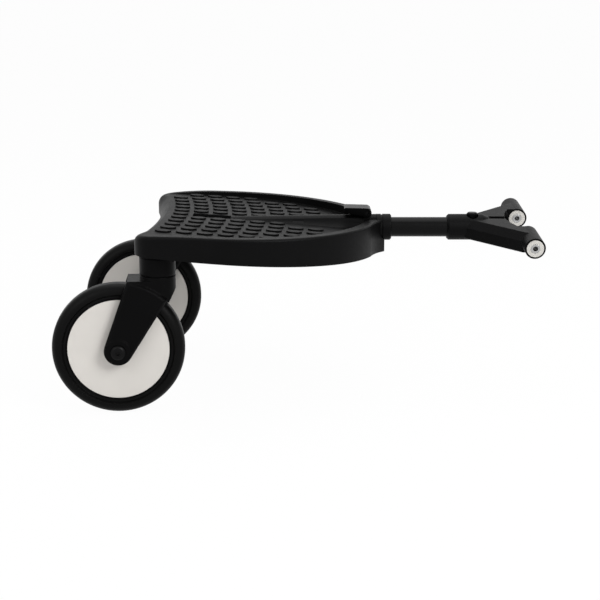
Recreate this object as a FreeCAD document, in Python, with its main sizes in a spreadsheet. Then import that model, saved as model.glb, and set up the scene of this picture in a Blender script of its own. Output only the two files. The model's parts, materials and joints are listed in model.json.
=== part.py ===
import FreeCAD, Part
import math
import os
import re
import Sketcher

# A buggy board: a standing deck on two casters that trails behind a pushchair on a telescoping tube.
# Millimetres. +X points to the hitch, +Z up from the ground, and Y = 0 is the plane of symmetry, so
# right is -Y. The rest pose is the photographed one: wheels trailing, lever shut, tube half out.

SIZES = {
    # wheels and casters
    "wheel_d": 127,
    "tyre_w": 23.6,
    "tyre_h": 13.5,
    "tyre_round": 8.8,
    "crown_w": 6,
    "bead_inset": 2.8,
    "bead_step": 2.2,
    "rim_proud": 0.3,
    "rim_wall": 4,
    "rim_lip": 1.3,
    "web_t": 4,
    "cover_t": 2,
    "cover_dish": 1.2,
    "hub_r": 12,
    "hub_bush_r": 7,
    "hub_bush_len": 8,
    "hub_flange_r": 9,
    "hub_flange_t": 1.5,
    "side_play": 0.5,
    "fit_gap": 0.3,
    "run_gap": 0.05,
    "axle_r": 4,
    "axle_head_r": 6.75,
    "axle_head_h": 3,
    "socket_r": 2.6,
    "socket_depth": 2,
    "nut_r": 7.5,
    "nut_h": 6.5,
    "track": 210,
    "swivel_x": -135.4,
    "trail": 38.8,
    "caster_yaw": 5,
    "leg_in": 14.5,
    "leg_t": 5.5,
    "leg_end_r": 13.6,
    "leg_edge": 2.4,
    "boss_r": 12.4,
    "boss_h": 1.2,
    "tyre_gap": 3.5,
    "leg_over": 1.5,
    "leg_back_angle": 81.5,
    "leg_front_angle": 46,
    "neck_r": 17.1,
    "neck_rise": 3.7,
    "neck_taper": 12.2,
    "joint_gap": 0.6,
    "stem_r": 6,
    "stem_grip": 8,
    "swivel_bush_r": 8,
    "swivel_flange_r": 13,
    "swivel_flange_t": 1.9,
    "upper_flange_r": 10,
    "upper_flange_t": 1.5,
    "clip_r": 9,
    "clip_t": 1.2,
    "clip_groove": 0.9,
    "clip_gap": 0.2,
    "clip_room": 1.6,
    "spigot_r": 13.5,
    "spigot_h": 15,
    "spigot_wall": 3.4,
    "spigot_drop": 8.2,
    # deck
    "deck_lift": 26,
    "deck_half": 139.3,
    "wide_x": -71,
    "rear_x": -155.6,
    "corner_run": 25.4,
    "rear_bow_r": 560,
    "corner_len": 15.5,
    "corner_inset": 8.8,
    "corner_r": 22,
    "side_bow_r": 264,
    "cheek_x": 70.5,
    "cheek_half": 40.5,
    "cheek_bow_r": 95,
    "nose_x": 84,
    "tip_x": 86.3,
    "tip_half": 6,
    "rim_up": 12,
    "rim_slope": 0.0365,
    "rim_bend_x": -95,
    "rim_bend_r": 500,
    "rim_back_drop": 6.5,
    "edge_back_drop": 3.5,
    "edge_front_drop": 26.5,
    "edge_bow_r": 3600,
    "rim_w": 10.5,
    "rim_round": 2.4,
    "rear_round": 14.5,
    "corner_round": 8,
    "skirt_t": 3,
    "plate_t": 3,
    "plate_back_t": 20,
    "plate_bend_x": -118,
    "tread_up": 9.4,
    "tread_x": -66,
    "tread_slope": 0.069,
    "hump_back_x": -72,
    "hump_inset": 6,
    "hump_back_half": 10,
    "hump_front_half": 20,
    "hump_cap_half": 7.2,
    "hump_cap_r": 13,
    "hump_cap_drop": 1.9,
    "hump_back_step": 2.5,
    "hump_sink": 0.5,
    "hump_flank_r": 20,
    "hump_back_up": 10.6,
    "hump_front_up": 12.9,
    "slot_back_x": -109.4,
    "slot_front_x": -70.6,
    "slot_w": 18,
    "slot_frame_t": 2.4,
    "slot_frame_up": 1,
    "pad_len": 15.6,
    "pad_w": 10.6,
    "pad_h": 1.5,
    "pad_edge": 0.45,
    "pad_pitch_x": 19.85,
    "pad_pitch_y": 19.3,
    "pad_first_x": -121.9,
    "pad_columns": 8,
    "pad_margin": 3,
    "rib_t": 2.5,
    "rib_drop": 8,
    "rib_back_x": -118,
    "rib_mid_x": -58,
    "rib_front_x": 34,
    "rib_half": 62,
    "block_wall": 4,
    # telescoping tube, its guides and the cam lock
    "tube_r": 10,
    "tube_wall": 2,
    "tube_back_x": -55,
    "tube_len": 245,
    "reach_out": 45,
    "reach_in": 50,
    "tunnel_gap": 0.4,
    "tunnel_room": 4,
    "plug_len": 12,
    "plug_flange": 2,
    "collar_inset": 6,
    "collar_len": 15,
    "collar_r": 13.3,
    "collar_chamfer": 1.2,
    "collar_groove_inset": 1.6,
    "collar_groove_w": 1.8,
    "collar_groove_depth": 0.7,
    "collar_spigot_r": 11.1,
    "collar_spigot_len": 20,
    "guide_x": -8,
    "guide_len": 12,
    "guide_r": 11.4,
    "cover_half": 23,
    "cover_back_x": -60,
    "cover_front_x": 52,
    "belly_t": 2.5,
    "belly_gap": 0.3,
    "belly_corner_r": 4,
    "screw_boss_r": 4.5,
    "screw_half": 18,
    "screw_inset": 7,
    "screw_r": 1.5,
    "screw_len": 11,
    "screw_head_r": 3,
    "screw_head_h": 2,
    "stop_x": 20,
    "stop_r": 2.5,
    "stop_reach": 2.8,
    "stop_head_r": 4.5,
    "stop_gap": 0.2,
    "pivot_inset": 16,
    "pivot_up": 16.4,
    "pin_r": 1.75,
    "lever_r": 4.6,
    "lever_core_half": 6.2,
    "lever_skirt": 1.6,
    "lever_len": 23,
    "lever_tip_up": 21.6,
    "lever_tip_t": 5.6,
    "lever_bend": 11,
    "lever_bend_up": 21.3,
    "lever_edge": 1.4,
    "lever_gap": 0.4,
    "ear_t": 3,
    "ear_half": 3.1,
    "shoe_r": 3.5,
    # hitch
    "hitch_roll": 4.6,
    "roll_play": 8,
    "hitch_grip": 40,
    "hitch_collar_len": 36,
    "hitch_collar_r": 13.2,
    "hitch_collar_chamfer": 1.8,
    "hitch_nose_len": 12,
    "hitch_nose_r": 8,
    "prong_up": 9.8,
    "prong_down": 9.3,
    "prong_root_in": 18,
    "prong_root_half": 12,
    "prong_tip_half": 61.5,
    "prong_facet_w": 6.5,
    "prong_facet_h": 7.8,
    "prong_edge": 1,
    "crotch_back": 17.85,
    "crotch_half": 9,
    "crotch_corner_back": 14.35,
    "crotch_corner_half": 22.6,
    "crease_in": 43,
    "crease_half": 4.5,
    "crease_depth": 3.5,
    "barrel_reach": 77.46,
    "barrel_r": 10.15,
    "barrel_in": 33.4,
    "barrel_len": 47,
    "bush_r": 8.4,
    "bush_len": 12,
    "bush_proud": 0.5,
    "sleeve_r": 4.5,
    "sleeve_bore_r": 2.5,
    "sleeve_proud": 0.3,
    "prong_screw_back": 13.25,
    "prong_screw_up": 4.6,
    "prong_screw_r": 3.4,
    "prong_screw_h": 2,
    "prong_screw_shank_r": 2,
    "prong_screw_len": 10,
    "driver_r": 4.3,
    "driver_len": 14,
    "button_in": 26,
    "button_r": 5.8,
    "button_up": 15,
    "button_foot_r": 6.9,
    "button_foot_t": 2,
    "button_foot_up": 1.8,
    "button_gap": 0.25,
    "button_round": 1.4,
    "spring_r": 3.6,
    "spring_wire_r": 0.5,
    "spring_turns": 4,
}

DERIVED = {
    "wheel_r": "wheel_d / 2",
    "bead_r": "wheel_r - tyre_h",
    "bead_half": "tyre_w / 2 - bead_inset",
    "rim_half": "bead_half + rim_proud",
    "cover_r": "bead_r - rim_lip - fit_gap",
    "hub_half": "leg_in - side_play - hub_flange_t",
    "leg_out": "leg_in + leg_t",
    "boss_out": "leg_out + boss_h",
    "slot_r": "wheel_r + tyre_gap",
    "leg_top_r": "slot_r + leg_over",
    "leg_lean": "acos(leg_end_r / leg_top_r) / 1 deg",
    "neck_h": "slot_r + neck_rise",
    "neck_z": "wheel_r + neck_h",
    "tube_z": "neck_z + deck_lift",
    "house_z": "neck_z + joint_gap",
    "flange_z": "neck_z + joint_gap / 6 + swivel_flange_t",
    "spigot_z": "tube_z - spigot_drop",
    "roof_z": "spigot_z + spigot_h",
    "upper_z": "spigot_z + spigot_h / 3",
    "swivel_bush_len": "(upper_z - flange_z) * 0.4",
    "clip_z": "upper_z + upper_flange_t + clip_gap",
    "corner_x": "rear_x + corner_len",
    "corner_half": "deck_half - corner_inset",
    "rear_half": "corner_half - corner_run",
    "front_drop": "deck_half - cheek_half",
    "front_bow_r": "((cheek_x - wide_x)^2 + front_drop^2) / (2 * front_drop)",
    "rim_z": "tube_z + rim_up",
    "tread_z": "tube_z + tread_up + tread_slope * tread_x",
    "tunnel_r": "tube_r + tunnel_gap",
    "belly_room": "guide_r - tube_r + belly_gap",
    "belly_z": "tube_z - tube_r - belly_room",
    "hump_front_x": "nose_x - hump_inset",
    "collar_x": "nose_x - collar_inset",
    "collar_groove_x": "nose_x - collar_groove_inset",
    "collar_end_x": "collar_x + collar_len",
    "collar_in_x": "collar_x - collar_spigot_len",
    "pivot_x": "nose_x - pivot_inset",
    "pivot_z": "tube_z + pivot_up",
    "lever_tip_x": "pivot_x - lever_len",
    "lever_bend_x": "pivot_x - lever_bend",
    "ear_in": "lever_core_half + lever_gap",
    "ear_out": "ear_in + ear_t",
    "lever_half": "ear_out + lever_gap + lever_skirt",
    "tube_front_x": "tube_back_x + tube_len",
    "hitch_collar_x": "tube_front_x - hitch_grip",
    "prong_root_x": "hitch_collar_x + prong_root_in",
    "crease_x": "hitch_collar_x + crease_in",
    "button_x": "hitch_collar_x + button_in",
    "barrel_x": "hitch_collar_x + barrel_reach",
    "crotch_x": "barrel_x - crotch_back",
    "crotch_corner_x": "barrel_x - crotch_corner_back",
    "prong_screw_x": "barrel_x - prong_screw_back",
    "barrel_out": "barrel_in + barrel_len",
    "prong_tip_x": "barrel_x - barrel_r",
    "hitch_nose_x": "hitch_collar_x + hitch_collar_len",
    "button_foot_z": "tube_z + button_foot_up",
}

doc = FreeCAD.newDocument("buggy_board")
sheet = doc.addObject("Spreadsheet::Sheet", "Sizes")
CELLS = {**{k: str(v) for k, v in SIZES.items()}, **{k: "=" + v for k, v in DERIVED.items()}}
for row, (alias, content) in enumerate(CELLS.items(), 1):
    sheet.set(f"A{row}", alias)
    sheet.set(f"B{row}", content)
    sheet.setAlias(f"B{row}", alias)
doc.recompute()

Vector = FreeCAD.Vector
ALIAS = re.compile(r"\b[a-z]\w*\b(?!\()")
SIDES = {"right": -1, "left": 1}


def number(text):
    """The value of an expression in the sheet's names."""
    return float(sheet.evalExpression(text))


def bind(item, prop, text):
    """Tie a property to an expression in the sheet's names."""
    item.setExpression(prop, ALIAS.sub(lambda m: "Sizes." + m.group(0), text))


def place(item, x="0", y="0", z="0"):
    for axis, text in zip("xyz", (x, y, z)):
        bind(item, f"Placement.Base.{axis}", text)
    return item


def new_body(name):
    body = doc.addObject("PartDesign::Body", name)
    body.Label = name
    return body


def new_sketch(body, plane, offset="0"):
    """A sketch on one of the body's origin planes, moved along the plane's normal."""
    sketch = body.newObject("Sketcher::SketchObject", body.Name + "_sketch")
    support = next(f for f in body.Origin.OriginFeatures if f.Role == plane)
    sketch.AttachmentSupport = (support, [""])
    sketch.MapMode = "FlatFace"
    bind(sketch, "AttachmentOffset.Base.z", offset)
    return sketch


def arc(start, end, radius, turn):
    """The short arc from start to end; turn is 1 if it bends left, -1 if right."""
    across = end - start
    rise = math.sqrt(radius**2 - across.Length**2 / 4)
    left = Vector(-across.y, across.x, 0).normalize()
    centre = (start + end) / 2 + left * (turn * rise)
    low, high = (start, end) if turn > 0 else (end, start)
    angles = [math.atan2(p.y - centre.y, p.x - centre.x) for p in (low, high)]
    return Part.ArcOfCircle(Part.Circle(centre, Vector(0, 0, 1), radius), *angles)


def outline(sketch, corners):
    """A closed outline. A corner is (x, y), or (x, y, radius, turn) if an arc leads on from it."""
    points = [Vector(number(c[0]), number(c[1]), 0) for c in corners]
    first, count = sketch.GeometryCount, len(corners)
    limits, texts = [], []
    for i, corner in enumerate(corners):
        start, end = points[i], points[(i + 1) % count]
        if len(corner) == 2:
            sketch.addGeometry(Part.LineSegment(start, end), False)
        else:
            sketch.addGeometry(arc(start, end, number(corner[2]), corner[3]), False)
    head = [2 if len(c) == 4 and c[3] < 0 else 1 for c in corners]
    for i, corner in enumerate(corners):
        here, after = first + i, (i + 1) % count
        limits.append(Sketcher.Constraint("Coincident", here, 3 - head[i], first + after, head[after]))
        texts.append(None)
        for axis, text in zip("XY", corner):
            limits.append(Sketcher.Constraint("Distance" + axis, here, head[i], number(text)))
            texts.append(text)
        if len(corner) == 4:
            limits.append(Sketcher.Constraint("Radius", here, number(corner[2])))
            texts.append(corner[2])
    for index, text in zip(sketch.addConstraint(limits), texts):
        if text:
            bind(sketch, f"Constraints[{index}]", text)


def ring(sketch, x, y, radius):
    """A circle, with its centre and radius tied to the sheet."""
    here = sketch.GeometryCount
    centre = Vector(number(x), number(y), 0)
    sketch.addGeometry(Part.Circle(centre, Vector(0, 0, 1), number(radius)), False)
    limits = [
        Sketcher.Constraint("DistanceX", here, 3, centre.x),
        Sketcher.Constraint("DistanceY", here, 3, centre.y),
        Sketcher.Constraint("Radius", here, number(radius)),
    ]
    for index, text in zip(sketch.addConstraint(limits), (x, y, radius)):
        bind(sketch, f"Constraints[{index}]", text)


def polar(radius, angle):
    return f"{radius} * cos({angle})", f"{radius} * sin({angle})"


def hexagon(sketch, radius):
    outline(sketch, [polar(radius, 60 * k) for k in range(6)])


def feature(body, kind, sketch, length, both=False, flip=False):
    """A Pad or Pocket of the sketch; both grows it to either side of the sketch's plane."""
    made = body.newObject("PartDesign::" + kind, f"{body.Name}_{kind}")
    made.Profile = sketch
    made.SideType = "Symmetric" if both else "One side"
    made.Reversed = flip
    bind(made, "Length", length)
    return made


def lathe(name, axis, corners, x="0", y="0", z="0"):
    """A turned body. About X the corners are (x, radius); about Y or Z they are (radius, height)."""
    body = new_body(name)
    sketch = new_sketch(body, "XZ_Plane" if axis == "Z" else "XY_Plane")
    outline(sketch, corners)
    turned = body.newObject("PartDesign::Revolution", name + "_turned")
    turned.Profile = sketch
    turned.ReferenceAxis = (sketch, ["H_Axis" if axis == "X" else "V_Axis"])
    turned.Angle = 360
    return place(body, x, y, z)


def prism(name, plane, corners, length, offset="0", both=False):
    body = new_body(name)
    sketch = new_sketch(body, plane, offset)
    outline(sketch, corners)
    feature(body, "Pad", sketch, length, both)
    return body


def box(name, low, high):
    """A block between two corners, each three expressions."""
    made = doc.addObject("Part::Box", name)
    for prop, a, b in zip(("Length", "Width", "Height"), low, high):
        bind(made, prop, f"({b}) - ({a})")
    return place(made, *low)


def cylinder(name, axis, radius, length, x, y, z):
    """A round bar that starts at a point and runs along +X, +Y or +Z."""
    made = doc.addObject("Part::Cylinder", name)
    bind(made, "Radius", radius)
    bind(made, "Height", length)
    turns = {"X": (Vector(0, 1, 0), 90), "Y": (Vector(1, 0, 0), -90), "Z": (Vector(0, 0, 1), 0)}
    made.Placement.Rotation = FreeCAD.Rotation(*turns[axis])
    return place(made, x, y, z)


def boolean(kind, name, base, tools):
    """Join, cut or overlap shapes."""
    if kind == "Cut":
        tool = tools[0] if len(tools) == 1 else boolean("MultiFuse", name + "_tools", tools[0], tools[1:])
        made = doc.addObject("Part::Cut", name)
        made.Base, made.Tool = base, tool
    else:
        made = doc.addObject("Part::" + kind, name)
        made.Shapes = [base, *tools]
    made.Label = name
    return made


def copies(name, pattern, places):
    """Separate solids of one pattern in one node."""
    doc.recompute()
    made = doc.addObject("Part::Feature", name)
    shapes = []
    for spot in places:
        shape = pattern.Shape.copy()
        shape.Placement = spot.multiply(shape.Placement)
        shapes.append(shape)
    made.Shape = Part.makeCompound(shapes)
    made.Label = name
    return made


def edges_where(shape, test):
    return [f"Edge{i}" for i, edge in enumerate(shape.Edges, 1) if test(edge)]


def dress(body, kind, size, test):
    """Round or bevel the edges that pass a test."""
    doc.recompute()
    base = body.Tip
    made = body.newObject("PartDesign::" + kind, f"{body.Name}_{kind}")
    made.Base = (base, edges_where(base.Shape, test))
    bind(made, "Radius" if kind == "Fillet" else "Size", size)
    return made


def samples(edge):
    first, last = edge.ParameterRange
    return [edge.valueAt(first + (last - first) * k / 4) for k in range(5)]


def near(value, target):
    return abs(value - target) < 1e-4


nodes = []

# Wheels: tyre, rim, a pair of smooth covers and a pair of hub bushes, turned about the axle.
TYRE = [
    ("bead_r", "-bead_half"),
    ("bead_r + bead_step", "-bead_half"),
    ("bead_r + bead_step * 1.8", "-tyre_w / 2"),
    ("wheel_r - tyre_h * 0.56", "-tyre_w / 2", "tyre_round", 1),
    ("wheel_r", "-crown_w / 2"),
    ("wheel_r", "crown_w / 2", "tyre_round", 1),
    ("wheel_r - tyre_h * 0.56", "tyre_w / 2"),
    ("bead_r + bead_step * 1.8", "tyre_w / 2"),
    ("bead_r + bead_step", "bead_half"),
    ("bead_r", "bead_half"),
]
RIM_HALF = [
    ("hub_bush_r", "hub_half"),
    ("hub_r", "hub_half"),
    ("hub_r", "web_t / 2"),
    ("bead_r - rim_wall", "web_t / 2"),
    ("bead_r - rim_wall", "rim_half - cover_t"),
    ("bead_r - rim_lip", "rim_half - cover_t"),
    ("bead_r - rim_lip", "rim_half"),
    ("bead_r", "rim_half"),
]
RIM = [(r, f"-({y})") for r, y in RIM_HALF] + RIM_HALF[::-1]
COVER = [
    ("cover_r", "rim_half - cover_t"),
    ("cover_r", "rim_half"),
    ("hub_r + fit_gap", "rim_half - cover_dish"),
    ("hub_r + fit_gap", "rim_half - cover_dish - cover_t"),
    ("bead_r - rim_wall - fit_gap", "rim_half - cover_t"),
]
HUB_BUSH = [
    ("axle_r + run_gap", "hub_half - hub_bush_len"),
    ("hub_bush_r", "hub_half - hub_bush_len"),
    ("hub_bush_r", "hub_half"),
    ("hub_flange_r", "hub_half"),
    ("hub_flange_r", "hub_half + hub_flange_t"),
    ("axle_r + run_gap", "hub_half + hub_flange_t"),
]


def axle_centre(sign):
    """Where a wheel stands, with its caster turned about the swivel."""
    return ("swivel_x - trail * cos(caster_yaw)", f"{sign} * track / 2 - trail * sin(caster_yaw)", "wheel_r")


def about_z(angle):
    return FreeCAD.Rotation(Vector(0, 0, 1), angle)


yaw = number("caster_yaw")
for side, sign in SIDES.items():
    centre = axle_centre(sign)
    middle = Vector(*(number(text) for text in centre))
    turn_over = FreeCAD.Placement(Vector(), about_z(180), middle)
    for name, corners in (("tyre", TYRE), ("wheel_rim", RIM)):
        piece = lathe(f"{side}_{name}", "Y", corners, *centre)
        piece.Placement.Rotation = about_z(yaw)
        nodes.append(piece)
    for name, corners in (("wheel_covers", COVER), ("hub_bushes", HUB_BUSH)):
        pattern = lathe(f"{side}_{name}_pattern", "Y", corners, *centre)
        pattern.Placement.Rotation = about_z(yaw)
        nodes.append(copies(f"{side}_{name}", pattern, [FreeCAD.Placement(), turn_over]))

# Casters: fork, axle bolt and nut, stem and clip. The bolt head is on the outer side.
LEG = [
    (*polar("leg_end_r", "leg_back_angle + leg_lean"), "leg_end_r", 1),
    (*polar("leg_end_r", "250"), "leg_end_r", 1),
    polar("leg_end_r", "leg_front_angle - leg_lean"),
    (*polar("leg_top_r", "leg_front_angle"), "leg_top_r", 1),
    polar("leg_top_r", "leg_back_angle"),
]
CROWN = [
    polar("(slot_r - tyre_gap * 2)", "leg_back_angle"),
    ("trail", "slot_r - tyre_gap * 5"),
    ("trail", "leg_top_r * sin(leg_back_angle)"),
    polar("leg_top_r", "leg_back_angle"),
]
NECK_CUT = [
    ("trail + neck_r * 0.5", "neck_h - neck_taper - neck_r * 0.9"),
    ("trail + neck_r * 3", "neck_h - neck_taper - neck_r * 0.9"),
    ("trail + neck_r * 3", "neck_h - neck_taper"),
    ("trail + neck_r + 0.1", "neck_h - neck_taper"),
]


def make_fork(name, centre):
    body = new_body(name)
    crown = new_sketch(body, "XZ_Plane")
    outline(crown, CROWN)
    feature(body, "Pad", crown, "leg_in * 2 + leg_t", both=True)
    neck = new_sketch(body, "XY_Plane", "neck_h")
    ring(neck, "trail", "0", "neck_r")
    feature(body, "Pad", neck, "neck_taper + neck_r * 0.9", flip=True)
    stem = new_sketch(body, "XY_Plane", "neck_h")
    ring(stem, "trail", "0", "stem_r")
    feature(body, "Pocket", stem, "stem_grip")
    taper = new_sketch(body, "XZ_Plane")
    outline(taper, NECK_CUT)
    feature(body, "Pocket", taper, "leg_out * 4", both=True)
    slot = new_sketch(body, "XZ_Plane")
    ring(slot, "0", "0", "slot_r")
    feature(body, "Pocket", slot, "leg_in * 2", both=True)
    for offset in ("leg_in", "-leg_out"):
        leg = new_sketch(body, "XZ_Plane", offset)
        outline(leg, LEG)
        feature(body, "Pad", leg, "leg_t")
    face_y = number("leg_out")
    dress(body, "Chamfer", "leg_edge", lambda e: all(near(abs(p.y), face_y) for p in samples(e)))
    for offset in ("leg_out", "-boss_out"):
        boss = new_sketch(body, "XZ_Plane", offset)
        ring(boss, "0", "0", "boss_r")
        feature(body, "Pad", boss, "boss_h")
    axle = new_sketch(body, "XZ_Plane")
    ring(axle, "0", "0", "axle_r")
    feature(body, "Pocket", axle, "boss_out * 4", both=True)
    return place(body, *centre)


AXLE = [
    ("0", "-boss_out - nut_h * 0.8"),
    ("axle_r", "-boss_out - nut_h * 0.8"),
    ("axle_r", "boss_out"),
    ("axle_head_r", "boss_out"),
    ("axle_head_r", "boss_out + axle_head_h * 0.7"),
    ("axle_head_r * 0.8", "boss_out + axle_head_h"),
    ("0", "boss_out + axle_head_h"),
]
STEM = [
    ("0", "neck_z - stem_grip"),
    ("stem_r", "neck_z - stem_grip"),
    ("stem_r", "clip_z"),
    ("stem_r - clip_groove", "clip_z"),
    ("stem_r - clip_groove", "clip_z + clip_t"),
    ("stem_r", "clip_z + clip_t"),
    ("stem_r", "clip_z + clip_t * 2"),
    ("0", "clip_z + clip_t * 2"),
]
CLIP = [
    ("stem_r - clip_groove", "clip_z"),
    ("clip_r", "clip_z"),
    ("clip_r", "clip_z + clip_t"),
    ("stem_r - clip_groove", "clip_z + clip_t"),
]
for side, sign in SIDES.items():
    centre = axle_centre(sign)
    swivel = ("swivel_x", f"{sign} * track / 2")
    caster = make_fork(f"{side}_caster_fork", centre)
    caster.Placement.Rotation = about_z(yaw)
    nodes.append(caster)
    bolt = lathe(f"{side}_axle_bolt", "Y", AXLE, *centre)
    socket = new_sketch(bolt, "XZ_Plane", "-boss_out - axle_head_h")
    hexagon(socket, "socket_r")
    feature(bolt, "Pocket", socket, "socket_depth", flip=True)
    nut = new_body(f"{side}_axle_nut")
    section = new_sketch(nut, "XZ_Plane", "boss_out")
    hexagon(section, "nut_r")
    ring(section, "0", "0", "axle_r")
    feature(nut, "Pad", section, "nut_h")
    place(nut, *centre)
    for piece in (bolt, nut):
        piece.Placement.Rotation = about_z(yaw if sign > 0 else yaw + 180)
        nodes.append(piece)
    nodes.append(lathe(f"{side}_stem", "Z", STEM, *swivel))
    nodes.append(lathe(f"{side}_stem_clip", "Z", CLIP, *swivel))

# Swivel housings under the deck's rear corners, each with a pair of flanged bushes for the stem.
HOUSING = [
    ("swivel_bush_r", "flange_z"),
    ("swivel_flange_r", "flange_z"),
    ("swivel_flange_r", "house_z"),
    ("neck_r", "house_z"),
    ("neck_r", "spigot_z"),
    ("spigot_r", "spigot_z"),
    ("spigot_r", "roof_z"),
    ("clip_r + clip_room", "roof_z"),
    ("clip_r + clip_room", "upper_z"),
    ("swivel_bush_r", "upper_z"),
]
LOWER_BUSH = [
    ("stem_r + run_gap", "flange_z - swivel_flange_t"),
    ("swivel_flange_r", "flange_z - swivel_flange_t"),
    ("swivel_flange_r", "flange_z"),
    ("swivel_bush_r", "flange_z"),
    ("swivel_bush_r", "flange_z + swivel_bush_len"),
    ("stem_r + run_gap", "flange_z + swivel_bush_len"),
]
UPPER_BUSH = [
    ("stem_r + run_gap", "upper_z - swivel_bush_len"),
    ("swivel_bush_r", "upper_z - swivel_bush_len"),
    ("swivel_bush_r", "upper_z"),
    ("upper_flange_r", "upper_z"),
    ("upper_flange_r", "upper_z + upper_flange_t"),
    ("stem_r + run_gap", "upper_z + upper_flange_t"),
]
for side, sign in SIDES.items():
    swivel = ("swivel_x", f"{sign} * track / 2")
    nodes.append(lathe(f"{side}_swivel_housing", "Z", HOUSING, *swivel))
    pair = doc.addObject("Part::Compound", f"{side}_swivel_bushes")
    pair.Label = pair.Name
    pair.Links = [
        lathe(f"{side}_lower_bush", "Z", LOWER_BUSH, *swivel),
        lathe(f"{side}_upper_bush", "Z", UPPER_BUSH, *swivel),
    ]
    nodes.append(pair)

# Deck: the plan outline, sliced by a leaning rim that bends down behind and a bowed lower edge, then
# dished for the tread, hollowed from below, and given a hump over the tube and the bosses that hold the rest.
PLAN = [
    ("rear_x", "-rear_half", "corner_r", 1),
    ("corner_x", "-corner_half", "side_bow_r", 1),
    ("wide_x", "-deck_half", "front_bow_r", 1),
    ("cheek_x", "-cheek_half", "cheek_bow_r", -1),
    ("tip_x", "-tip_half"),
    ("tip_x", "tip_half", "cheek_bow_r", -1),
    ("cheek_x", "cheek_half", "front_bow_r", 1),
    ("wide_x", "deck_half", "side_bow_r", 1),
    ("corner_x", "corner_half", "corner_r", 1),
    ("rear_x", "rear_half", "rear_bow_r", -1),
]
BACK, FRONT = "(rear_x - 20)", "(nose_x + 20)"


def tread_at(x, lower="0"):
    return f"tread_z - tread_slope * ({x}) - {lower}"


def rim_at(x):
    return f"rim_z - rim_slope * ({x})"


plan = doc.addObject("Sketcher::SketchObject", "deck_plan")
outline(plan, PLAN)


def plan_block(name, inset):
    """A tall block on the deck's plan, or on the plan drawn in by an inset."""
    base = plan
    if inset:
        base = doc.addObject("Part::Offset2D", name + "_plan")
        base.Source = plan
        base.Fill = False
        base.Join = "Arc"
        bind(base, "Value", "-" + inset)
    made = doc.addObject("Part::Extrusion", name)
    made.Base = base
    made.Dir = Vector(0, 0, 1)
    made.Solid = True
    bind(made, "LengthFwd", "tube_z * 2")
    return made


core_side = prism("deck_side", "XZ_Plane", [
    (BACK, "tube_z - edge_back_drop", "edge_bow_r", -1),
    (FRONT, "tube_z - edge_front_drop"),
    (FRONT, rim_at(FRONT)),
    ("rim_bend_x", rim_at("rim_bend_x"), "rim_bend_r", 1),
    (BACK, f"{rim_at(BACK)} - rim_back_drop"),
], "deck_half * 3", both=True)
core = boolean("MultiCommon", "deck_core", plan_block("deck_block", None), [core_side])
doc.recompute()


def on_rim(edge):
    """Is this one of the top's outer edges, and not the line where the top starts to bend?"""
    points = samples(edge)
    bend = all(near(p.x, number("rim_bend_x")) for p in points)
    return not bend and all(p.z > number("tube_z") for p in points)


def rim_radius(point):
    """The rim's rounding: generous along the rear edge, less at the corners and small along the sides."""
    if near(point.x, number("corner_x")):
        return number("corner_round")
    return number("rear_round") if point.x < number("corner_x") else number("rim_round")


rounded = doc.addObject("Part::Fillet", "deck_rounded")
rounded.Base = core
rounded.Edges = [
    (i, *(rim_radius(v.Point) for v in edge.Vertexes))
    for i, edge in enumerate(core.Shape.Edges, 1)
    if on_rim(edge)
]
above = prism("above_tread", "XZ_Plane", [
    (BACK, tread_at(BACK)),
    (FRONT, tread_at(FRONT)),
    (FRONT, "tube_z * 1.5"),
    (BACK, "tube_z * 1.5"),
], "deck_half * 3", both=True)
below = prism("below_plate", "XZ_Plane", [
    (BACK, "0"),
    (FRONT, "0"),
    (FRONT, tread_at(FRONT, "plate_t")),
    ("plate_bend_x", tread_at("plate_bend_x", "plate_t")),
    (BACK, tread_at(BACK, "plate_back_t")),
], "deck_half * 3", both=True)
tail = box("recess_tail", (BACK, "-rear_half", "0"), ("rear_x + corner_r", "rear_half", "tube_z * 2"))
dish = boolean("MultiFuse", "recess_plan_block", plan_block("recess_block", "rim_w"), [tail])
recess = boolean("MultiCommon", "tread_recess", dish, [above])
hollow = boolean("MultiCommon", "deck_hollow", plan_block("hollow_block", "skirt_t"), [below])


def hump_section(body, x, half, up, side_z):
    """The hump's outline across the deck: a round cap on hollow flanks."""
    sketch = new_sketch(body, "YZ_Plane", x)
    cap_z = f"tube_z + {up} - hump_cap_drop"
    outline(sketch, [
        (f"-{half}", f"{side_z} - plate_t"),
        (half, f"{side_z} - plate_t"),
        (half, side_z, "hump_flank_r", -1),
        ("hump_cap_half", cap_z, "hump_cap_r", 1),
        ("-hump_cap_half", cap_z, "hump_flank_r", -1),
        (f"-{half}", side_z),
    ])
    return sketch


hump = new_body("deck_hump")
back_section = hump_section(hump, "hump_back_x", "hump_back_half", "hump_back_up",
                            "tube_z + hump_back_up - hump_back_step")
front_section = hump_section(hump, "hump_front_x", "hump_front_half", "hump_front_up",
                             tread_at("hump_front_x", "hump_sink"))
ridge = hump.newObject("PartDesign::AdditiveLoft", "deck_hump_ridge")
ridge.Profile = back_section
ridge.Sections = [front_section]
ridge.Ruled = True


def ear(name, low, high):
    """A lug inside the lever, with a round top about the lever's pin."""
    block = box(name + "_block", ("pivot_x - ear_half", low, "tube_z"),
                ("pivot_x + ear_half", high, "pivot_z"))
    top = cylinder(name + "_top", "Y", "ear_half", f"({high}) - ({low})", "pivot_x", low, "pivot_z")
    return [block, top]


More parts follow.
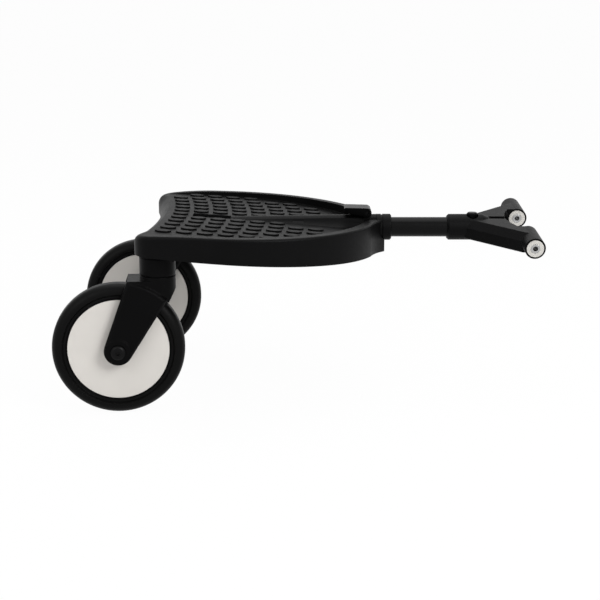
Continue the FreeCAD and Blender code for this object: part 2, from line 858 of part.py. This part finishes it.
ears = ear("right_ear", "-ear_out", "-ear_in") + ear("left_ear", "ear_in", "ear_out")
lever_well = cylinder("lever_well", "Y", "lever_r + lever_gap", "(lever_half + lever_gap) * 2",
                      "pivot_x", "-lever_half - lever_gap", "pivot_z")
LEVER_TIP_UNDER = ("lever_tip_x", "tube_z + lever_tip_up - lever_tip_t")
LEVER_HEEL = ("pivot_x - lever_r * 1.3", "pivot_z - lever_r * 0.75")
lever_seat = prism("lever_seat", "XZ_Plane", [
    ("lever_tip_x - lever_gap", f"{LEVER_TIP_UNDER[1]} - lever_gap"),
    (LEVER_HEEL[0], f"{LEVER_HEEL[1]} - lever_gap"),
    ("pivot_x", "pivot_z - lever_r - lever_gap"),
    ("pivot_x", "pivot_z * 1.2"),
    ("lever_tip_x - lever_gap", "pivot_z * 1.2"),
], "(lever_half + lever_gap) * 2", both=True)
sunk_hump = boolean("Cut", "deck_hump_sunk", hump, [lever_well, lever_seat])
ribs = [
    box(f"cross_rib_{i}", (f"{x} - rib_t / 2", "-deck_half", "tube_z - rib_drop"),
        (f"{x} + rib_t / 2", "deck_half", "tube_z * 1.3"))
    for i, x in enumerate(("rib_back_x", "rib_mid_x", "rib_front_x"))
] + [
    box(f"{side}_long_rib", ("rear_x", f"{sign} * rib_half - rib_t / 2", "tube_z - rib_drop"),
        ("nose_x", f"{sign} * rib_half + rib_t / 2", "tube_z * 1.3"))
    for side, sign in SIDES.items()
]
SCREW_X = ("cover_back_x + screw_inset", "(cover_back_x + cover_front_x) / 2", "cover_front_x - screw_inset")
SCREW_SPOTS = [(x, f"{sign} * screw_half") for x in SCREW_X for sign in SIDES.values()]
posts = [
    cylinder(f"screw_post_{i}", "Z", "screw_boss_r", "tube_z", x, y, "belly_z")
    for i, (x, y) in enumerate(SCREW_SPOTS)
] + [
    cylinder(f"{side}_swivel_post", "Z", "spigot_r + spigot_wall", "tube_z",
             "swivel_x", f"{sign} * track / 2", "spigot_z")
    for side, sign in SIDES.items()
] + [
    box("nose_block",
        ("collar_in_x - block_wall", "-collar_r - block_wall", "tube_z - collar_r - block_wall"),
        ("nose_x", "collar_r + block_wall", "tube_z * 1.3")),
    box("slot_frame",
        ("slot_back_x - slot_frame_t", "-slot_w / 2 - slot_frame_t", "tube_z + slot_frame_up"),
        ("slot_front_x + slot_frame_t", "slot_w / 2 + slot_frame_t", "tube_z * 1.3")),
    box("guide_block", ("guide_x", "-guide_r - block_wall", "belly_z"),
        ("guide_x + guide_len", "guide_r + block_wall", "tube_z * 1.3")),
]
inside = boolean("MultiFuse", "deck_inside", ribs[0], ribs[1:] + posts)
inside_fit = boolean("MultiCommon", "deck_inside_fit", inside, [hollow])
dished = boolean("Cut", "deck_dished", rounded, [recess])
humped = boolean("MultiFuse", "deck_humped", dished, [sunk_hump, *ears])
hollowed = boolean("Cut", "deck_hollowed", humped, [hollow])
filled = boolean("MultiFuse", "deck_filled", hollowed, [inside_fit])
TUNNEL_BACK = "(tube_back_x - reach_in - plug_flange - tunnel_room)"
openings = [
    cylinder("tunnel", "X", "tunnel_r", f"collar_end_x - {TUNNEL_BACK}", TUNNEL_BACK, "0", "tube_z"),
    cylinder("collar_seat", "X", "collar_r", "collar_len * 2", "collar_x", "0", "tube_z"),
    cylinder("collar_bore", "X", "collar_spigot_r", "collar_spigot_len", "collar_in_x", "0", "tube_z"),
    cylinder("guide_bore", "X", "guide_r", "guide_len", "guide_x", "0", "tube_z"),
    box("slot", ("slot_back_x", "-slot_w / 2", "tube_z"), ("slot_front_x", "slot_w / 2", "tube_z * 1.3")),
    cylinder("shoe_hole", "Z", "shoe_r + fit_gap", "pivot_up", "pivot_x", "0", "tube_z"),
    cylinder("pin_hole", "Y", "pin_r", "ear_out * 2", "pivot_x", "-ear_out", "pivot_z"),
] + [
    cylinder(f"screw_hole_{i}", "Z", "screw_r", "screw_len - belly_t", x, y, "belly_z")
    for i, (x, y) in enumerate(SCREW_SPOTS)
] + [
    cylinder(f"{side}_swivel_bore", "Z", "spigot_r", "spigot_h",
             "swivel_x", f"{sign} * track / 2", "spigot_z")
    for side, sign in SIDES.items()
]
deck = boolean("Cut", "deck_shell", filled, openings)
nodes.append(deck)
doc.recompute()

# Tread pads: low lens-shaped grips on the tread, in columns that follow the bow of the rear edge.
pad = prism("tread_pad_pattern", "XY_Plane", [
    ("-pad_len / 2", "0", "(pad_len * pad_len + pad_w * pad_w) / (4 * pad_w)", 1),
    ("pad_len / 2", "0", "(pad_len * pad_len + pad_w * pad_w) / (4 * pad_w)", 1),
], "pad_h")
dress(pad, "Fillet", "pad_edge", lambda e: all(near(p.z, number("pad_h")) for p in samples(e)))
doc.recompute()
tread_plan = Part.Face(doc.getObject("recess_block_plan").Shape.Wires)
tilt = FreeCAD.Rotation(Vector(0, 1, 0), math.degrees(math.atan(number("tread_slope"))))


def pad_fits(x, y):
    """Is a pad here clear of the rim, the hump and the slot?"""
    half_x, half_y = number("pad_len / 2 + pad_margin"), number("pad_w / 2 + pad_margin")
    around = [(half_x, 0), (-half_x, 0), (0, half_y), (0, -half_y)]
    along = (x - number("hump_back_x")) / number("hump_front_x - hump_back_x")
    wide = number("hump_back_half") + max(along, 0) * number("hump_front_half - hump_back_half")
    beside_hump = x < number("slot_back_x") - half_x or abs(y) > wide + half_y - number("pad_margin")
    return beside_hump and all(
        tread_plan.isInside(Vector(x + dx, y + dy, 0), 1e-6, True) for dx, dy in around
    )


def pad_spots(sign):
    pitch_x, pitch_y = number("pad_pitch_x"), number("pad_pitch_y")
    bow = 1 / (2 * number("rear_bow_r"))
    spots = []
    for row in range(int(number("deck_half") / pitch_y) + 1):
        y = sign * row * pitch_y
        if row == 0 and sign < 0:
            continue
        for column in range(int(number("pad_columns"))):
            x = number("pad_first_x") - bow * y * y + column * pitch_x
            if pad_fits(x, y):
                spots.append(FreeCAD.Placement(Vector(x, y, number(tread_at(str(x)))), tilt))
    return spots


for side, sign in SIDES.items():
    nodes.append(copies(f"{side}_tread_pads", pad, pad_spots(sign)))

# Telescoping tube, its plug and guides. A stop screw rides in a slot under the tube and sets its reach.
tube = new_body("draw_tube")
section = new_sketch(tube, "YZ_Plane", "tube_back_x")
ring(section, "0", "tube_z", "tube_r")
ring(section, "0", "tube_z", "tube_r - tube_wall")
feature(tube, "Pad", section, "tube_front_x - tube_back_x")
groove = new_sketch(tube, "XY_Plane", "tube_z")
groove_half = "(stop_r + stop_gap)"
outline(groove, [
    (f"stop_x - reach_out - {groove_half}", f"-{groove_half}"),
    (f"stop_x + reach_in + {groove_half}", f"-{groove_half}"),
    (f"stop_x + reach_in + {groove_half}", groove_half),
    (f"stop_x - reach_out - {groove_half}", groove_half),
])
feature(tube, "Pocket", groove, "tube_r * 2")
button_hole = new_sketch(tube, "XY_Plane", "tube_z")
ring(button_hole, "button_x", "0", "button_r + button_gap")
feature(tube, "Pocket", button_hole, "tube_r * 2", flip=True)
nodes.append(tube)
nodes.append(lathe("tube_plug", "X", [
    ("tube_back_x - plug_flange", "0"),
    ("tube_back_x + plug_len", "0"),
    ("tube_back_x + plug_len", "tube_r - tube_wall"),
    ("tube_back_x", "tube_r - tube_wall"),
    ("tube_back_x", "tube_r"),
    ("tube_back_x - plug_flange", "tube_r"),
], z="tube_z"))
collar = lathe("nose_collar", "X", [
    ("collar_in_x", "tube_r + run_gap"),
    ("collar_end_x", "tube_r + run_gap"),
    ("collar_end_x", "collar_r - collar_chamfer"),
    ("collar_end_x - collar_chamfer", "collar_r"),
    ("collar_groove_x + collar_groove_w", "collar_r"),
    ("collar_groove_x + collar_groove_w", "collar_r - collar_groove_depth"),
    ("collar_groove_x", "collar_r - collar_groove_depth"),
    ("collar_groove_x", "collar_r"),
    ("collar_x", "collar_r"),
    ("collar_x", "collar_spigot_r"),
    ("collar_in_x", "collar_spigot_r"),
], z="tube_z")
window = new_sketch(collar, "XY_Plane")
ring(window, "pivot_x", "0", "shoe_r + fit_gap")
feature(collar, "Pocket", window, "collar_r * 2", flip=True)
nodes.append(collar)
nodes.append(lathe("rear_guide", "X", [
    ("guide_x", "tube_r + run_gap"),
    ("guide_x + guide_len", "tube_r + run_gap"),
    ("guide_x + guide_len", "guide_r"),
    ("guide_x", "guide_r"),
], z="tube_z"))
belly = new_body("belly_cover")
sheet_plan = new_sketch(belly, "XY_Plane", "belly_z")
outline(sheet_plan, [
    ("cover_back_x", "-cover_half"),
    ("cover_front_x", "-cover_half"),
    ("cover_front_x", "cover_half"),
    ("cover_back_x", "cover_half"),
])
for x, y in SCREW_SPOTS:
    ring(sheet_plan, x, y, "screw_r")
ring(sheet_plan, "stop_x", "0", "stop_r")
feature(belly, "Pad", sheet_plan, "belly_t", flip=True)
dress(belly, "Fillet", "belly_corner_r", lambda e: near(e.BoundBox.ZLength, number("belly_t"))
      and near(e.Length, number("belly_t")) and near(abs(e.CenterOfMass.y), number("cover_half")))
nodes.append(belly)


def screw(name, radius, length, head_r, head_h):
    """A pan-head screw that points up from the origin, with its head below."""
    return lathe(name, "Z", [
        ("0", f"-{head_h}"),
        (f"{head_r} * 0.7", f"-{head_h}"),
        (head_r, f"-{head_h} * 0.5"),
        (head_r, "0"),
        (radius, "0"),
        (radius, length),
        ("0", length),
    ])


cover_screw = screw("cover_screw_pattern", "screw_r", "screw_len", "screw_head_r", "screw_head_h")
under = number("belly_z - belly_t")
nodes.append(copies("cover_screws", cover_screw, [
    FreeCAD.Placement(Vector(number(x), number(y), under), FreeCAD.Rotation()) for x, y in SCREW_SPOTS
]))
stop = screw("stop_screw", "stop_r", "belly_t + belly_room + stop_reach", "stop_head_r", "screw_head_h")
nodes.append(place(stop, "stop_x", "0", "belly_z - belly_t"))

# Cam lock: a lever on a cross pin over a brake shoe that bears on the tube.
lever = prism("lock_lever", "XZ_Plane", [
    LEVER_TIP_UNDER,
    LEVER_HEEL,
    ("pivot_x", "pivot_z - lever_r", "lever_r", 1),
    ("pivot_x + lever_r", "pivot_z", "lever_r", 1),
    ("pivot_x", "pivot_z + lever_r"),
    ("lever_bend_x", "tube_z + lever_bend_up"),
    ("lever_tip_x", "tube_z + lever_tip_up"),
], "lever_half * 2", both=True)
dress(lever, "Fillet", "lever_edge", lambda e: near(e.BoundBox.XLength, 0) and e.BoundBox.YLength > 1
      and near(e.CenterOfMass.x, number("lever_tip_x")))
EAR_ROOM = "(ear_half + lever_gap)"
SWING = "(lever_r + lever_gap)"
for offset in ("ear_in - lever_gap", "-ear_out - lever_gap"):
    room = new_sketch(lever, "XZ_Plane", offset)
    outline(room, [
        (f"pivot_x - {EAR_ROOM}", f"pivot_z - {SWING}"),
        (f"pivot_x + {SWING}", f"pivot_z - {SWING}"),
        (f"pivot_x + {SWING}", f"pivot_z + {EAR_ROOM}"),
        ("pivot_x", f"pivot_z + {EAR_ROOM}", EAR_ROOM, 1),
        (f"pivot_x - {EAR_ROOM}", "pivot_z"),
    ])
    feature(lever, "Pocket", room, "ear_t + lever_gap * 2", flip=True)
bore = new_sketch(lever, "XZ_Plane")
ring(bore, "pivot_x", "pivot_z", "pin_r + run_gap")
feature(lever, "Pocket", bore, "lever_half * 4", both=True)
nodes.append(lever)
pin = cylinder("lever_pin", "Y", "pin_r", "ear_out * 2", "pivot_x", "-ear_out", "pivot_z")
shoe = cylinder("brake_shoe", "Z", "shoe_r", "pivot_up - lever_r - tube_r - fit_gap * 2",
                "pivot_x", "0", "tube_z + tube_r + fit_gap")
nodes += [pin, shoe]

# Hitch: a collar that can rock on the tube's end, a forked plate and a cross barrel on each prong. It is
# drawn level about the tube's axis and stands rolled a few degrees, as photographed.
rolled = FreeCAD.Placement(
    Vector(0, 0, number("tube_z")), FreeCAD.Rotation(Vector(1, 0, 0), number("hitch_roll"))
)
fork = lathe("hitch_fork", "X", [
    ("hitch_collar_x", "0"),
    ("hitch_nose_x + hitch_nose_len", "0"),
    ("hitch_nose_x + hitch_nose_len", "hitch_nose_r"),
    ("hitch_nose_x", "hitch_collar_r"),
    ("hitch_collar_x + hitch_collar_chamfer", "hitch_collar_r"),
    ("hitch_collar_x", "hitch_collar_r - hitch_collar_chamfer"),
])
PRONG = [
    ("crotch_x", "crotch_half"),
    ("crotch_corner_x", "crotch_corner_half"),
    ("prong_tip_x", "barrel_in"),
    ("barrel_x", "barrel_in"),
    ("barrel_x", "prong_tip_half"),
    ("prong_tip_x", "prong_tip_half"),
    ("prong_root_x", "prong_root_half"),
]
vee = new_sketch(fork, "XY_Plane", "-prong_down")
outline(vee, PRONG + [(x, "-" + y) for x, y in reversed(PRONG)])
feature(fork, "Pad", vee, "prong_up + prong_down")


def outer_edge(level):
    """A test for the long outer edges of the prongs at one height."""
    def test(edge):
        box_size = edge.BoundBox
        long = min(box_size.XLength, box_size.YLength) > number("barrel_r")
        return long and near(box_size.ZLength, 0) and near(edge.CenterOfMass.z, level)
    return test


facet = dress(fork, "Chamfer", "prong_facet_w", outer_edge(number("prong_up")))
facet.ChamferType = "Two distances"
bind(facet, "Size2", "prong_facet_h")
dress(fork, "Chamfer", "prong_edge", outer_edge(-number("prong_down")))
for offset in ("barrel_in", "-barrel_out"):
    barrel = new_sketch(fork, "XZ_Plane", offset)
    ring(barrel, "barrel_x", "0", "barrel_r")
    feature(fork, "Pad", barrel, "barrel_len")
bores = new_sketch(fork, "XZ_Plane")
ring(bores, "barrel_x", "0", "bush_r")
feature(fork, "Pocket", bores, "barrel_out * 4", both=True)
tube_bore = new_sketch(fork, "YZ_Plane", "tube_front_x")
ring(tube_bore, "0", "0", "tube_r + run_gap")
feature(fork, "Pocket", tube_bore, "tube_front_x - hitch_collar_x + tube_wall")
crease = new_sketch(fork, "XY_Plane", "prong_up - crease_depth")
outline(crease, [
    ("crease_x", "-crease_half"),
    ("crotch_corner_x", "-crease_half"),
    ("crotch_corner_x", "crease_half"),
    ("crease_x", "crease_half"),
])
feature(fork, "Pocket", crease, "hitch_collar_r", flip=True)
PLAY = "(button_up * sin(roll_play))"
HOLE = "(button_r + button_gap)"
for y in ("-" + PLAY, PLAY):
    push_hole = new_sketch(fork, "XY_Plane")
    ring(push_hole, "button_x", y, HOLE)
    feature(fork, "Pocket", push_hole, "hitch_collar_r * 2", flip=True)
push_slot = new_sketch(fork, "XY_Plane")
outline(push_slot, [
    (f"button_x - {HOLE}", "-" + PLAY),
    (f"button_x + {HOLE}", "-" + PLAY),
    (f"button_x + {HOLE}", PLAY),
    (f"button_x - {HOLE}", PLAY),
])
feature(fork, "Pocket", push_slot, "hitch_collar_r * 2", flip=True)
for radius, length, starts in (
    ("driver_r", "driver_len", ("barrel_in - driver_len", "-barrel_in")),
    ("prong_screw_shank_r", "prong_screw_len", ("barrel_in", "-barrel_in - prong_screw_len")),
):
    for offset in starts:
        hole = new_sketch(fork, "XZ_Plane", offset)
        ring(hole, "prong_screw_x", "prong_screw_up", radius)
        feature(fork, "Pocket", hole, length, flip=True)
place(fork, z="tube_z").Placement.Rotation = rolled.Rotation
nodes.append(fork)

bush = lathe("hitch_bush_pattern", "Y", [
    ("sleeve_r + run_gap", "0"),
    ("bush_r", "0"),
    ("bush_r", "bush_len"),
    ("sleeve_r + run_gap", "bush_len"),
])
sleeve = lathe("hitch_sleeve_pattern", "Y", [
    ("sleeve_bore_r", "0"),
    ("sleeve_r", "0"),
    ("sleeve_r", "barrel_len + (bush_proud + sleeve_proud) * 2"),
    ("sleeve_bore_r", "barrel_len + (bush_proud + sleeve_proud) * 2"),
])
lock_screw = screw("prong_screw_pattern", "prong_screw_shank_r", "prong_screw_len",
                   "prong_screw_r", "prong_screw_h")


def in_hitch(x, y, z, turn=0):
    """A place in the hitch's own level frame; turn is about X."""
    spot = Vector(number(x), number(y), number(z))
    return rolled.multiply(FreeCAD.Placement(spot, FreeCAD.Rotation(Vector(1, 0, 0), turn)))


BUSH_STARTS = ("barrel_in - bush_proud", "barrel_out + bush_proud - bush_len")
nodes.append(copies("hitch_bushes", bush, [
    in_hitch("barrel_x", y, "0") for start in BUSH_STARTS for y in (start, f"-({start}) - bush_len")
]))
nodes.append(copies("hitch_sleeves", sleeve, [
    in_hitch("barrel_x", "barrel_in - bush_proud - sleeve_proud", "0"),
    in_hitch("barrel_x", "-barrel_out - bush_proud - sleeve_proud", "0"),
]))
nodes.append(copies("prong_screws", lock_screw, [
    in_hitch("prong_screw_x", f"{sign} * barrel_in", "prong_screw_up", -90 * sign) for sign in SIDES.values()
]))

# Snap button: it stands in the tube, comes up through tube and collar, and a spring lifts it.
nodes.append(lathe("release_button", "Z", [
    ("0", "button_foot_z"),
    ("button_foot_r", "button_foot_z"),
    ("button_foot_r", "button_foot_z + button_foot_t"),
    ("button_r", "button_foot_z + button_foot_t"),
    ("button_r", "tube_z + button_up - button_round"),
    ("button_r - button_round", "tube_z + button_up"),
    ("0", "tube_z + button_up"),
], x="button_x"))
spring = doc.addObject("Part::Feature", "button_spring")
coil_r, wire_r = number("spring_r"), number("spring_wire_r")
floor_z = number("tube_z") - math.sqrt(number("tube_r - tube_wall") ** 2 - (coil_r + wire_r) ** 2) + wire_r
rise = number("button_foot_z") - wire_r - floor_z
helix = Part.makeHelix(rise / number("spring_turns"), rise, coil_r)
wire_end = Part.Wire(Part.makeCircle(wire_r, Vector(coil_r, 0, 0), Vector(0, 1, 0)))
spring.Shape = Part.Wire(helix).makePipeShell([wire_end], True, True)
spring.Placement = FreeCAD.Placement(Vector(number("button_x"), 0, floor_z), FreeCAD.Rotation())
nodes.append(spring)

doc.recompute()
for item in doc.Objects:
    if {"Invalid", "Error"} & set(item.State):
        raise RuntimeError(f"{item.Name} didn't build: {item.getStatusString()}")
os.makedirs("parts", exist_ok=True)
for node in nodes:
    node.Label = node.Name
    if node.Shape.isNull() or not node.Shape.isValid():
        raise RuntimeError(f"{node.Name} has no valid shape")
    node.Shape.exportStep(f"parts/{node.Name}.step")
print(f"{len(nodes)} nodes")
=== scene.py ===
import json
import math

import bpy
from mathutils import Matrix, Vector


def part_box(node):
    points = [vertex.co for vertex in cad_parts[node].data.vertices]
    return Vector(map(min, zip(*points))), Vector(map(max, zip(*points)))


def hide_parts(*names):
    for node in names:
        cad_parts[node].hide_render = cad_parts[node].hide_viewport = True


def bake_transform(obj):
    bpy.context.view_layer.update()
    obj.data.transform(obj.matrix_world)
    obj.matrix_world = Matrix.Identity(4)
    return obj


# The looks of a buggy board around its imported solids. Metres, in the part's own frame: +X points to
# the hitch, +Z is up from the ground and the photograph looks along +Y.

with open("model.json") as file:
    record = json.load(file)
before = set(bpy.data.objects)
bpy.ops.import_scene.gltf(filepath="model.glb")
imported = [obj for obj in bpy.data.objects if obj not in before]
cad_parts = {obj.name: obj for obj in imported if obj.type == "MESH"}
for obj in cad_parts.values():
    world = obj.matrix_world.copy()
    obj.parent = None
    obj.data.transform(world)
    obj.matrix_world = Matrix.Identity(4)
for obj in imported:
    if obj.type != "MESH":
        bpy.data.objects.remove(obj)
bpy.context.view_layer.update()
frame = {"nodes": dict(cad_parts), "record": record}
nodes = frame["nodes"]
SLOT_OF = {row["node"]: row["material_slot"] for row in frame["record"]["subparts"]}
WHITE = (1, 1, 1, 1)


class Tree:
    """A short way to add and join shader nodes."""

    def __init__(self, tree):
        self.tree = tree
        tree.nodes.clear()

    def add(self, kind, inputs=None, **settings):
        node = self.tree.nodes.new("ShaderNode" + kind)
        for name, value in settings.items():
            setattr(node, name, value)
        for name, value in (inputs or {}).items():
            self.put(node.inputs[name], value)
        return node

    def put(self, socket, value):
        """Join a socket to another one, or set it to a plain value."""
        if isinstance(value, bpy.types.NodeSocket):
            self.tree.links.new(value, socket)
        else:
            socket.default_value = value

    def math(self, operation, a, b):
        node = self.add("Math", operation=operation)
        self.put(node.inputs[0], a)
        self.put(node.inputs[1], b)
        return node.outputs[0]

    def noise(self, where, size, detail, rough=0.5):
        """Noise whose features are about size metres across."""
        node = self.add("TexNoise", {"Vector": where, "Scale": 1 / size, "Detail": detail,
                                     "Roughness": rough})
        return node.outputs["Fac"]

    def span(self, value, low, high, start=0.3, end=0.7):
        """Low to high as the value goes from start to end; noise mostly lies in 0.3 to 0.7."""
        node = self.add("MapRange", {"Value": value, "From Min": start, "From Max": end,
                                     "To Min": low, "To Max": high})
        return node.outputs["Result"]

    def mix(self, factor, first, second):
        node = self.add("Mix", data_type="RGBA")
        self.put(node.inputs["Factor"], factor)
        self.put(node.inputs["A"], first)
        self.put(node.inputs["B"], second)
        return node.outputs["Result"]

    def surface(self, kind, shader):
        """Send a shader to the tree's output."""
        self.put(self.add("Output" + kind).inputs["Surface"], shader.outputs[0])


# Finishes: one for each material slot in the record.
CLOUD_SIZE = 0.03
CLOUD_GLOSS = 0.4
SPECK_GRAINS = 6
SPECK_HEIGHT = 0.6
EDGE_SOFT = 0.0006
EDGE_SAMPLES = 6


def shade(colour, factor):
    """A colour made lighter or darker, with its alpha."""
    return (*(min(c * factor, 1.0) for c in colour), 1.0)


def finish_of(name, colour, vary, rough, grain, depth, soft=EDGE_SOFT, specular=0.5, ior=1.5,
              metallic=0.0):
    """A moulded, coated or plated finish: cloudy colour, uneven gloss, fine grain and soft edges.

    The colour varies by the share vary and the roughness between the two values of rough. The grain
    is a size across and depth its height; soft is the radius over which edges look rounded.
    """
    made = bpy.data.materials.new(name)
    made.use_nodes = True
    tree = Tree(made.node_tree)
    where = tree.add("TexCoord").outputs["Object"]
    cloud = tree.noise(where, CLOUD_SIZE, detail=3.0)
    fine = tree.noise(where, grain, detail=4.0, rough=0.6)
    specks = tree.noise(where, grain * SPECK_GRAINS, detail=3.0, rough=0.65)
    tint = tree.mix(tree.span(cloud, 0.0, 1.0), shade(colour, 1 - vary), shade(colour, 1 + vary))
    uneven = tree.math("ADD", tree.math("MULTIPLY", cloud, CLOUD_GLOSS),
                       tree.math("MULTIPLY", specks, 1 - CLOUD_GLOSS))
    gloss = tree.span(uneven, rough[0], rough[1])
    height = tree.math("ADD", fine, tree.math("MULTIPLY", specks, SPECK_HEIGHT))
    edge = tree.add("Bevel", {"Radius": soft}, samples=EDGE_SAMPLES)
    bump = tree.add("Bump", {"Height": height, "Strength": 1.0, "Distance": depth,
                             "Normal": edge.outputs[0]})
    shader = tree.add("BsdfPrincipled", {
        "Base Color": tint,
        "Roughness": gloss,
        "Normal": bump.outputs["Normal"],
        "Specular IOR Level": specular,
        "IOR": ior,
        "Metallic": metallic,
    })
    tree.surface("Material", shader)
    return made


FINISHES = {
    "deck_plastic": dict(colour=(0.0018, 0.0018, 0.0019), vary=0.15, rough=(0.38, 0.50),
                         grain=0.0005, depth=0.00003, soft=0.0012, specular=0.06),
    "tread_plastic": dict(colour=(0.0018, 0.0018, 0.0019), vary=0.15, rough=(0.40, 0.52),
                          grain=0.0005, depth=0.00003, specular=0.06),
    "fork_plastic": dict(colour=(0.0012, 0.0012, 0.0013), vary=0.15, rough=(0.34, 0.46),
                         grain=0.0004, depth=0.00003, soft=0.0022, specular=0.05),
    "hitch_plastic": dict(colour=(0.0018, 0.0018, 0.0019), vary=0.15, rough=(0.36, 0.48),
                          grain=0.0004, depth=0.00003, soft=0.0012, specular=0.06),
    "tube_coat": dict(colour=(0.0016, 0.0016, 0.0017), vary=0.12, rough=(0.20, 0.28),
                      grain=0.0009, depth=0.000003, specular=0.1),
    "lever_plastic": dict(colour=(0.0010, 0.0010, 0.0011), vary=0.12, rough=(0.22, 0.32),
                          grain=0.0008, depth=0.00001, soft=0.0012, ior=1.12),
    "tyre_rubber": dict(colour=(0.0018, 0.0018, 0.0018), vary=0.18, rough=(0.36, 0.48),
                        grain=0.0006, depth=0.00003, specular=0.07),
    "wheel_plastic": dict(colour=(0.615, 0.59, 0.555), vary=0.02, rough=(0.32, 0.42),
                          grain=0.0007, depth=0.00001, specular=0.4),
    "bush_plastic": dict(colour=(0.52, 0.505, 0.475), vary=0.03, rough=(0.42, 0.52),
                         grain=0.0005, depth=0.00001, specular=0.4),
    "steel": dict(colour=(0.42, 0.42, 0.42), vary=0.06, rough=(0.28, 0.40),
                  grain=0.0004, depth=0.00001, metallic=1.0),
    "black_steel": dict(colour=(0.0022, 0.0022, 0.0023), vary=0.15, rough=(0.30, 0.42),
                        grain=0.0004, depth=0.00001, specular=0.1),
}
FINISH = {slot: finish_of(slot, **values) for slot, values in FINISHES.items()}

for name, node in nodes.items():
    node.data.materials.clear()
    node.data.materials.append(FINISH[SLOT_OF[name]])

# The button's spring, drawn again as a helix of round wire that fills the imported spring's box
# between the tube and the button.
SPRING_TURNS = 4
SPRING_WIRE = 0.0005
TURN_STEPS = 32
WIRE_SIDES = 10


def add_object(name, data):
    made = bpy.data.objects.new(name, data)
    bpy.context.scene.collection.objects.link(made)
    return made


def coil(name, low, high):
    """A helix of round wire, SPRING_WIRE in radius, that fills a box and is closed at both ends."""
    middle = (low + high) / 2
    radius = (high.x - low.x) / 2 - SPRING_WIRE
    bottom, top = low.z + SPRING_WIRE, high.z - SPRING_WIRE
    steps = SPRING_TURNS * TURN_STEPS
    points, faces = [], []
    for i in range(steps + 1):
        angle = math.tau * i / TURN_STEPS
        height = bottom + (top - bottom) * i / steps
        for k in range(WIRE_SIDES):
            around = math.tau * k / WIRE_SIDES
            reach = radius + SPRING_WIRE * math.cos(around)
            points.append((middle.x + reach * math.cos(angle), middle.y + reach * math.sin(angle),
                           height + SPRING_WIRE * math.sin(around)))
    for i in range(steps):
        here, there = i * WIRE_SIDES, (i + 1) * WIRE_SIDES
        for k in range(WIRE_SIDES):
            after = (k + 1) % WIRE_SIDES
            faces.append((here + k, there + k, there + after, here + after))
    faces.append(tuple(range(WIRE_SIDES)))
    faces.append(tuple(reversed(range(steps * WIRE_SIDES, (steps + 1) * WIRE_SIDES))))
    mesh = bpy.data.meshes.new(name)
    mesh.from_pydata(points, [], faces)
    mesh.shade_smooth()
    return add_object(name, mesh)


spring_low, spring_high = (Vector(corner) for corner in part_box("button_spring"))
spring = coil("pressed_spring", spring_low, spring_high)
spring.data.materials.append(FINISH[SLOT_OF["button_spring"]])
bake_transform(spring)
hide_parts("button_spring")

# Stage: a pale floor just under the wheels and a white surround, dimmer as light than it looks.
FLOOR_HALF = 60.0
FLOOR_DROP = 0.0005
FLOOR_COLOUR = (0.9, 0.9, 0.9, 1)
FLOOR_GLOW = 0.97
AMBIENT = 0.4


def backdrop_ray(tree):
    """1 for rays that show the backdrop: those of the camera, reflections and glass."""
    light = tree.add("LightPath")
    seen = tree.math("MAXIMUM", light.outputs["Is Camera Ray"], light.outputs["Is Glossy Ray"])
    return tree.math("MAXIMUM", seen, light.outputs["Is Transmission Ray"])


def floor_material():
    """Nearly white where it is seen, with enough of a plain surface to keep the object's shadow."""
    made = bpy.data.materials.new("pale_floor")
    made.use_nodes = True
    tree = Tree(made.node_tree)
    plain = tree.add("BsdfDiffuse", {"Color": FLOOR_COLOUR})
    glow = tree.add("Emission", {"Color": WHITE, "Strength": 1.0})
    share = tree.math("MULTIPLY", backdrop_ray(tree), FLOOR_GLOW)
    both = tree.add("MixShader", {"Fac": share, 1: plain.outputs[0], 2: glow.outputs[0]})
    tree.surface("Material", both)
    return made


floor_mesh = bpy.data.meshes.new("floor")
floor_mesh.from_pydata(
    [(-FLOOR_HALF, -FLOOR_HALF, 0), (FLOOR_HALF, -FLOOR_HALF, 0), (FLOOR_HALF, FLOOR_HALF, 0),
     (-FLOOR_HALF, FLOOR_HALF, 0)], [], [(0, 1, 2, 3)])
floor = add_object("floor", floor_mesh)
floor.location.z = -FLOOR_DROP
floor_mesh.materials.append(floor_material())

world = bpy.data.worlds.new("studio")
bpy.context.scene.world = world
world.use_nodes = True
sky = Tree(world.node_tree)
strength = sky.span(backdrop_ray(sky), AMBIENT, 1.0, start=0.0, end=1.0)
sky.surface("World", sky.add("Background", {"Color": WHITE, "Strength": strength}))

# Lamps: a wide soft one overhead, a key at the front right and a weaker one at the front left.
LAMP_TARGET = Vector((0.0, 0.0, 0.12))


def lamp(name, at, size, power):
    """A square lamp of a size in metres and a power in watts, turned to the board."""
    data = bpy.data.lights.new(name, "AREA")
    data.shape = "SQUARE"
    data.size = size
    data.energy = power
    made = add_object(name, data)
    made.location = at
    made.rotation_euler = (LAMP_TARGET - Vector(at)).to_track_quat("-Z", "Y").to_euler()


lamp("overhead", at=(0.0, 0.3, 1.8), size=1.6, power=14)
lamp("front_right", at=(1.3, -1.5, 1.3), size=1.0, power=32)
lamp("front_left", at=(-1.2, -1.5, 1.2), size=1.0, power=8)

# The photograph's camera, fitted to the wheel on the ground: it looks along +Y and a little down.
CAMERA_AT = (0.0, -1.313374, 0.409773)
PITCH_DOWN = 13.978
FOCAL_PX = 1302.656
FRAME_PX = 600
SENSOR_MM = 36.0
view = bpy.data.cameras.new("photo_view")
view.sensor_width = SENSOR_MM
view.lens = SENSOR_MM * FOCAL_PX / FRAME_PX
camera = add_object("photo_view", view)
camera.location = CAMERA_AT
camera.rotation_euler = (math.radians(90 - PITCH_DOWN), 0, 0)
bpy.context.scene.camera = camera
bpy.context.scene.view_settings.view_transform = "Standard"
